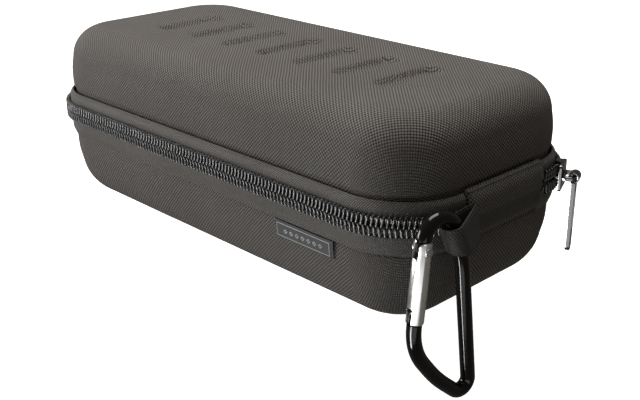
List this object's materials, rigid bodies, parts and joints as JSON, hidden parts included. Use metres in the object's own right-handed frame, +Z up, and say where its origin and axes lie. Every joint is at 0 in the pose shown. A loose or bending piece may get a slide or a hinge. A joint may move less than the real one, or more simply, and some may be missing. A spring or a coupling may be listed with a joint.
{
  "type": "controller carrying case",
  "caption": "Moulded hard-shell case with a zip round three sides, a cloth hinge at one end, and a carabiner in a webbing loop.",
  "frame": {"origin": "centre of the flat underside of the lower half", "axes": "+X towards the cloth hinge's end, -Y towards the side with the label, +Z up"},
  "size_m": [0.2491, 0.1151, 0.1052],
  "materials": {
    "shell_fabric": "coarse ribbed nylon, warm dark grey",
    "tape_fabric": "woven tape, dark grey",
    "coil_plastic": "gloss black",
    "lining_fabric": "knitted lining, near black",
    "webbing_fabric": "black woven webbing",
    "label_fabric": "fine woven tab, mid grey",
    "dark_nickel": "dark nickel plate",
    "black_aluminium": "gloss black",
    "bare_aluminium": "satin bright",
    "steel": "plain bright"
  },
  "bodies": {
    "case": {"base_shell": "shell_fabric", "lower_zip_tape": "tape_fabric", "lower_zip_coil": "coil_plastic", "hinge_panel": "shell_fabric", "hinge_lining": "lining_fabric", "base_binding": "lining_fabric", "webbing_loop": "webbing_fabric", "side_label": "label_fabric"},
    "lid": {"lid_shell": "shell_fabric", "upper_zip_tape": "tape_fabric", "upper_zip_coil": "coil_plastic", "lid_binding": "lining_fabric"},
    "slider": {"slider_body": "dark_nickel", "slider_bail": "dark_nickel"},
    "pull": {"pull_tab": "dark_nickel"},
    "clip": {"carabiner_body": "black_aluminium"},
    "gate": {"carabiner_gate": "bare_aluminium", "gate_rivet": "steel", "gate_spring": "steel", "gate_plunger": "steel"}
  },
  "joints": [
    {"name": "lid_hinge", "type": "hinge", "parent": "case", "child": "lid", "pos_m": [0.1205, 0, 0.0456], "axis": [0, 1, 0], "range_deg": [0, 105], "deforming": ["upper_zip_tape", "upper_zip_coil", "hinge_panel", "hinge_lining"]},
    {"name": "slider_travel", "type": "hinge", "parent": "case", "child": "slider", "pos_m": [0.0876, 0.0251, 0.0456], "axis": [0, 0, 1], "range_deg": [0, 68], "deforming": ["lower_zip_coil"]},
    {"name": "pull_swing", "type": "hinge", "parent": "slider", "child": "pull", "pos_m": [0.12331, 0.03953, 0.0456], "axis": [0.3746, -0.9272, 0], "range_deg": [-8, 80]},
    {"name": "clip_swing", "type": "hinge", "parent": "case", "child": "clip", "pos_m": [0.1242, -0.035, 0.044], "axis": [-0.1736, -0.9848, 0], "range_deg": [0, 70], "deforming": ["webbing_loop"]},
    {"name": "gate_swing", "type": "hinge", "parent": "clip", "child": "gate", "pos_m": [0.12121, -0.05196, 0.04271], "axis": [0.9848, -0.1736, 0], "range_deg": [0, 22], "stiffness_Nm_per_rad": 0.06, "springref_deg": -28.65}
  ]
}
